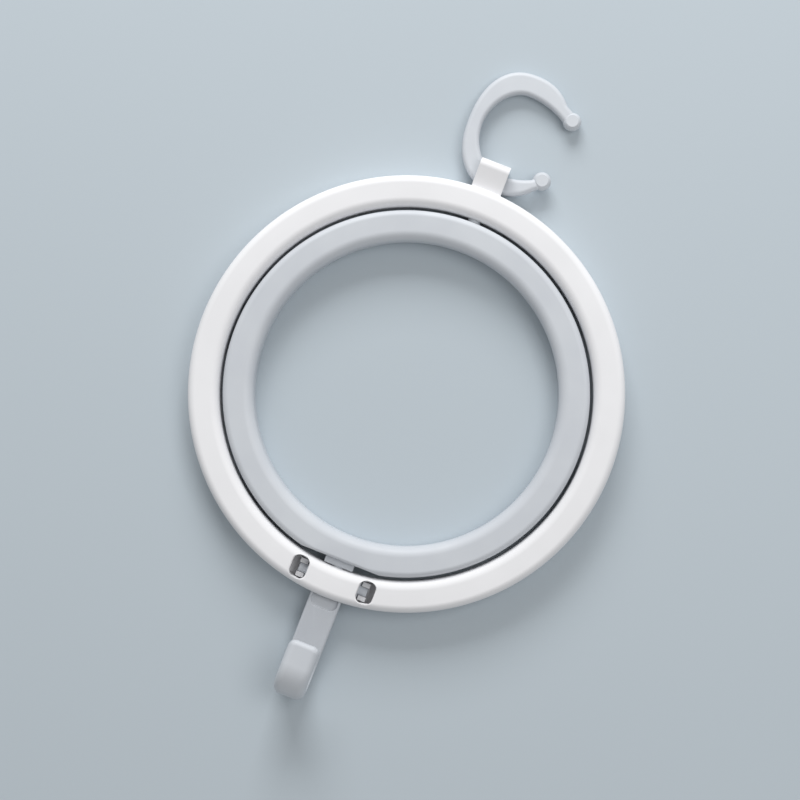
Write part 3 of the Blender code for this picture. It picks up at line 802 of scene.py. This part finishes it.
def curl_edge(first, last, right, left, top, bottom, squareness, steps=84):
    """Points along a rounded-square oval with its own reach on each of its four sides."""
    points = []
    for index in range(steps + 1):
        angle = math.radians(first + (last - first) * index / steps)
        across, up = math.cos(angle), math.sin(angle)
        reach_x = right if across > 0 else left
        reach_y = top if up > 0 else bottom
        points.append((math.copysign(reach_x * abs(across) ** (2 / squareness), across),
                       math.copysign(reach_y * abs(up) ** (2 / squareness), up)))
    return points


def arm_end(outer, inner, ball, width):
    """Half circle on which an arm ends inside its ball, starting from the inner edge."""
    along = Vector(ball) - (Vector(outer) + Vector(inner)) / 2
    heading = math.degrees(math.atan2(along.y, along.x))
    side = 90 if outer[1] > 0 else -90
    return arc(ball[0], ball[1], width / 2, heading - side, heading + side, 14)


# Centres of the balls from the middle of the curl, and where the curl's two edges start and
# end, in degrees counter-clockwise from its open side.
UPPER_BALL = (0.0181, 0.0125)
LOWER_BALL = (0.0158, -0.0121)
OUTER_SPAN = (44, 314)
INNER_SPAN = (46, 304)


def rail_hook_outline(hook):
    """Front view of the hook: the curl, and an arm towards each ball."""
    outer = curl_edge(*OUTER_SPAN, hook.right, hook.left, hook.top, hook.bottom, squareness=2.3)
    inner = curl_edge(*INNER_SPAN, hook.inside_right, hook.left - hook.side_width,
                      hook.top - hook.top_width, hook.bottom - hook.bar_width, squareness=1.9)
    upper = arm_end(outer[0], inner[0], UPPER_BALL, hook.arm_end)
    lower = arm_end(outer[-1], inner[-1], LOWER_BALL, hook.arm_end)
    return upper + outer + lower[::-1] + inner[::-1]


def rail_hook(settings):
    """The open hook, leaning back about its bar until its top rests on the surface."""
    rings, hook = settings.rings, settings.rail_hook
    lift = rings.radius + hook.clearance + hook.bottom - EYE_Y
    outline = [(x + hook.offset, y + lift) for x, y in rail_hook_outline(hook)]
    shape = prism(outline, -hook.thickness / 2, hook.thickness / 2)
    round_edges(shape, end_edges(shape), hook.edge, 6)
    obj = new_object("open_rail_hook", shape)
    flat = hook.ball_thickness / 2
    start = math.degrees(math.asin(flat / hook.ball_radius))
    profile = [(0.0, flat)] + arc(0.0, 0.0, hook.ball_radius, start, -start, 18) + [(0.0, -flat)]
    for x, y in (UPPER_BALL, LOWER_BALL):
        ball = spun(profile, 48, closed=False)
        bmesh.ops.translate(ball, vec=(x + hook.offset, y + lift, 0.0), verts=ball.verts)
        join(obj, ball)
    far = hook.top + lift - hook.rest_edge
    half = hook.thickness / 2 - hook.rest_edge
    tilt = math.asin((EYE_Z - hook.rest_edge) / math.hypot(far, half)) - math.atan2(half, far)
    obj.data.transform(Matrix.Translation((0.0, EYE_Y, EYE_Z)) @ Matrix.Rotation(-tilt, 4, 'X'))
    return obj


# Stage

def set_camera(rings):
    """Camera above and a little right of the rings, turned so that the hanger leans."""
    view_width = 0.2916  # what the photo spans at the rings' front face
    view_middle = Vector((-0.001088, -0.002911, rings.thickness))
    reach = Vector((0.035, 0.0, 0.95))
    data = bpy.data.cameras.new("photo_camera")
    data.sensor_fit = 'HORIZONTAL'
    data.sensor_width = 36.0
    data.lens = data.sensor_width * reach.length / view_width
    camera = bpy.data.objects.new("photo_camera", data)
    camera.location = RING_CENTRE + view_middle + reach
    tilt = Matrix.Rotation(math.atan2(reach.x, reach.z), 3, 'Y')
    camera.rotation_euler = (tilt @ Matrix.Rotation(LEAN, 3, 'Z')).to_euler()
    bpy.context.scene.collection.objects.link(camera)
    bpy.context.scene.camera = camera


def add_lamp(name, power, towards, elevation, distance, size):
    """Soft lamp aimed at the rings, in degrees left of the photo's top and above the floor."""
    data = bpy.data.lights.new(name, 'AREA')
    data.shape = 'RECTANGLE'
    data.size, data.size_y = size
    data.energy = power
    lamp = bpy.data.objects.new(name, data)
    heading = math.radians(90 + towards) + LEAN
    rise = math.radians(elevation)
    place = Vector((math.cos(rise) * math.cos(heading), math.cos(rise) * math.sin(heading),
                    math.sin(rise))) * distance
    lamp.location = RING_CENTRE + place
    lamp.rotation_euler = place.to_track_quat('Z', 'Y').to_euler()
    bpy.context.scene.collection.objects.link(lamp)


def set_world(finish):
    """Even light all round, and the backdrop's colour where a camera or a gloss looks past it."""
    world = bpy.data.worlds.new("studio")
    world.use_nodes = True
    tree = world.node_tree
    tree.nodes.clear()
    path = add_node(tree, 'ShaderNodeLightPath')
    direct = add_node(tree, 'ShaderNodeMath',
                      {0: path.outputs["Is Camera Ray"], 1: path.outputs["Is Glossy Ray"]},
                      operation='MAXIMUM')
    seen = add_node(tree, 'ShaderNodeMath',
                    {0: direct.outputs[0], 1: path.outputs["Is Transmission Ray"]},
                    operation='MAXIMUM')
    light = add_node(tree, 'ShaderNodeBackground',
                     {"Color": (1.0, 1.0, 1.0, 1.0), "Strength": finish.ambient})
    view = add_node(tree, 'ShaderNodeBackground',
                    {"Color": (*finish.backdrop, 1.0), "Strength": 1.0})
    mix = add_node(tree, 'ShaderNodeMixShader',
                   {0: seen.outputs[0], 1: light.outputs[0], 2: view.outputs[0]})
    add_node(tree, 'ShaderNodeOutputWorld', {"Surface": mix.outputs[0]})
    bpy.context.scene.world = world


def backdrop_paper(finish):
    """Matt card: one even colour with a very slight tooth."""
    material = bpy.data.materials.new("matt_backdrop_card")
    material.use_nodes = True
    tree = material.node_tree
    tree.nodes.clear()
    coordinates = add_node(tree, 'ShaderNodeTexCoord').outputs["Object"]
    tooth = add_node(tree, 'ShaderNodeTexNoise',
                     {"Vector": coordinates, "Scale": per_metre(1.2), "Detail": 2.0})
    bump = add_node(tree, 'ShaderNodeBump',
                    {"Height": tooth.outputs["Fac"], "Strength": 0.05, "Distance": 0.0001})
    shader = add_node(tree, 'ShaderNodeBsdfPrincipled',
                      {"Base Color": (*finish.backdrop, 1.0), "Roughness": 0.9,
                       "Specular IOR Level": 0.2, "Normal": bump.outputs["Normal"]})
    add_node(tree, 'ShaderNodeOutputMaterial', {"Surface": shader.outputs["BSDF"]})
    return material


# Operators and panel

class HANGER_OT_outer_ring(bpy.types.Operator):
    """Build the white outer ring, its saddles and the eye for the rail hook"""
    bl_idname = "hanger.outer_ring"
    bl_label = "Outer Ring"

    def execute(self, context):
        settings = context.scene.hanger
        white = white_plastic(settings.finish)
        for make, nodes in ((outer_front_shell, ["outer_ring_front"]),
                            (outer_back_shell, ["outer_ring_back"]),
                            (saddles, []), (eye_strap, []), (eye_return, [])):
            finished(make(settings), white, "outer_ring", nodes)
        return {'FINISHED'}


class HANGER_OT_inner_ring(bpy.types.Operator):
    """Build the blue-grey inner ring and the pin and block that it turns on"""
    bl_idname = "hanger.inner_ring"
    bl_label = "Inner Ring"

    def execute(self, context):
        settings = context.scene.hanger
        grey = grey_plastic(settings.finish)
        front, back = inner_ring_shells(settings)
        finished(front, grey, "inner_ring", ["inner_ring_front"])
        finished(back, grey, "inner_ring", ["inner_ring_back"])
        finished(upper_pin(settings), grey, "inner_ring", ["upper_pivot_pin"])
        finished(lower_block(settings), grey, "inner_ring", ["lower_pivot_block"])
        return {'FINISHED'}


class HANGER_OT_lower_hook(bpy.types.Operator):
    """Build the J hook that folds back below the rings"""
    bl_idname = "hanger.lower_hook"
    bl_label = "Lower Hook"

    def execute(self, context):
        settings = context.scene.hanger
        finished(folding_hook(settings), grey_plastic(settings.finish), "lower_hook",
                 ["lower_hook"])
        return {'FINISHED'}


class HANGER_OT_rail_hook(bpy.types.Operator):
    """Build the open hook with balls on its ends that swings in the eye"""
    bl_idname = "hanger.rail_hook"
    bl_label = "Rail Hook"

    def execute(self, context):
        settings = context.scene.hanger
        finished(rail_hook(settings), grey_plastic(settings.finish), "rail_hook",
                 ["rail_hook"])
        return {'FINISHED'}


class HANGER_OT_stage(bpy.types.Operator):
    """Set the floor, the soft lights and the camera of the photo"""
    bl_idname = "hanger.stage"
    bl_label = "Stage"

    def execute(self, context):
        settings = context.scene.hanger
        finish = settings.finish
        set_camera(settings.rings)
        shape = bmesh.new()
        bmesh.ops.create_grid(shape, x_segments=1, y_segments=1, size=2.5)
        floor = new_object("floor", shape)
        floor.data.materials.append(backdrop_paper(finish))
        floor.location.z = -0.00002  # just under the faces that lie on it
        add_lamp("main_lamp", finish.main_power, towards=2, elevation=29, distance=1.25,
                 size=(0.75, 0.52))
        add_lamp("high_lamp", finish.high_power, towards=-75, elevation=62, distance=1.6,
                 size=(0.8, 0.8))
        set_world(finish)
        context.scene.view_settings.view_transform = 'Standard'
        return {'FINISHED'}


class HANGER_PT_panel(bpy.types.Panel):
    """Steps that build the hanger"""
    bl_idname = "HANGER_PT_panel"
    bl_label = "Double Ring Hanger"
    bl_space_type = 'VIEW_3D'
    bl_region_type = 'UI'
    bl_category = "Hanger"

    def draw(self, context):
        for operator in OPERATORS:
            self.layout.operator(operator.bl_idname)


GROUPS = (HangerRings, HangerEye, HangerHinge, HangerLowerHook, HangerRailHook, HangerFinish,
          HangerSettings)
OPERATORS = (HANGER_OT_outer_ring, HANGER_OT_inner_ring, HANGER_OT_lower_hook, HANGER_OT_rail_hook,
             HANGER_OT_stage)


def register():
    for cls in (*GROUPS, *OPERATORS, HANGER_PT_panel):
        bpy.utils.register_class(cls)
    bpy.types.Scene.hanger = PointerProperty(type=HangerSettings)


def unregister():
    del bpy.types.Scene.hanger
    for cls in reversed((*GROUPS, *OPERATORS, HANGER_PT_panel)):
        bpy.utils.unregister_class(cls)


def main():
    register()
    bpy.ops.hanger.stage()
    bpy.ops.hanger.outer_ring()
    bpy.ops.hanger.inner_ring()
    bpy.ops.hanger.lower_hook()
    bpy.ops.hanger.rail_hook()
    bpy.context.view_layer.update()


if __name__ == "__main__":
    main()
